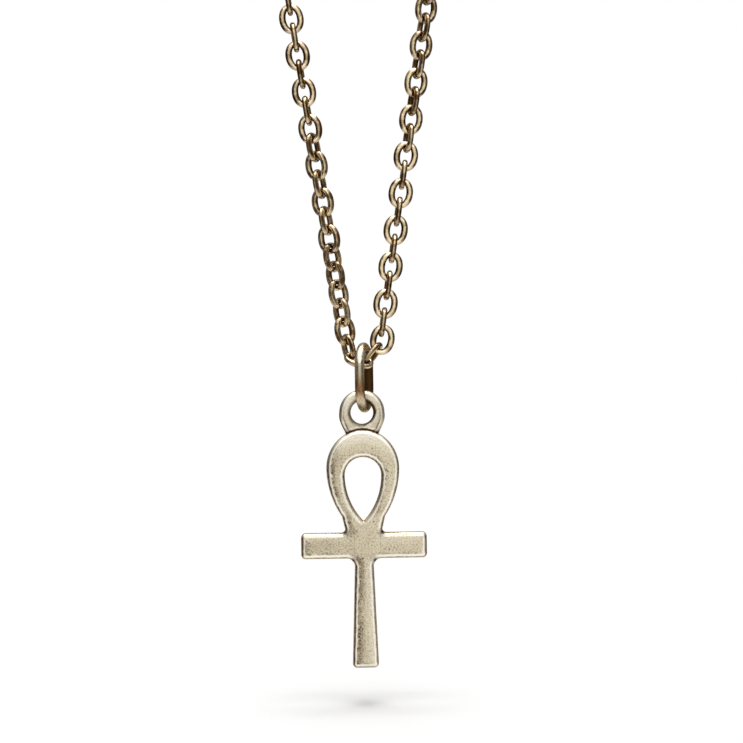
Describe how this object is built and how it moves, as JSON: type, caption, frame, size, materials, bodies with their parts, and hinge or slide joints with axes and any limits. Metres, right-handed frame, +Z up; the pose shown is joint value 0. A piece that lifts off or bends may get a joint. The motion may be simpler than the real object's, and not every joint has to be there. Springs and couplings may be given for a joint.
{
  "type": "ankh pendant necklace",
  "caption": "Cast brass ankh with a teardrop loop and a round eye, hanging by an oval jump ring from a closed cable chain.",
  "frame": {"origin": "middle of the clasp at the top of the chain's loop, where the necklace hangs", "axes": "+Z up along the hanging necklace, the front of the ankh faces -Y, +X to the right seen from the front"},
  "size_m": [0.0599, 0.006, 0.2411],
  "materials": {
    "ankh": "satin, darkened in the low places",
    "jump_ring": "satin, warm",
    "chain": "polished",
    "clasp": "polished"
  },
  "bodies": {
    "chain": {"chain_left": "chain", "chain_right": "chain", "clasp": "clasp"},
    "jump_ring": {"jump_ring": "jump_ring"},
    "ankh": {"ankh": "ankh"}
  },
  "joints": [
    {"name": "ring_swing", "type": "hinge", "parent": "chain", "child": "jump_ring", "pos_m": [-0.00006, 0, -0.20853], "axis": [0.9781, -0.2079, 0], "range_deg": [-80, 80]},
    {"name": "ankh_swing", "type": "hinge", "parent": "jump_ring", "child": "ankh", "pos_m": [-0.00006, 0, -0.21263], "axis": [0.2079, 0.9781, 0], "range_deg": [-80, 80]}
  ]
}
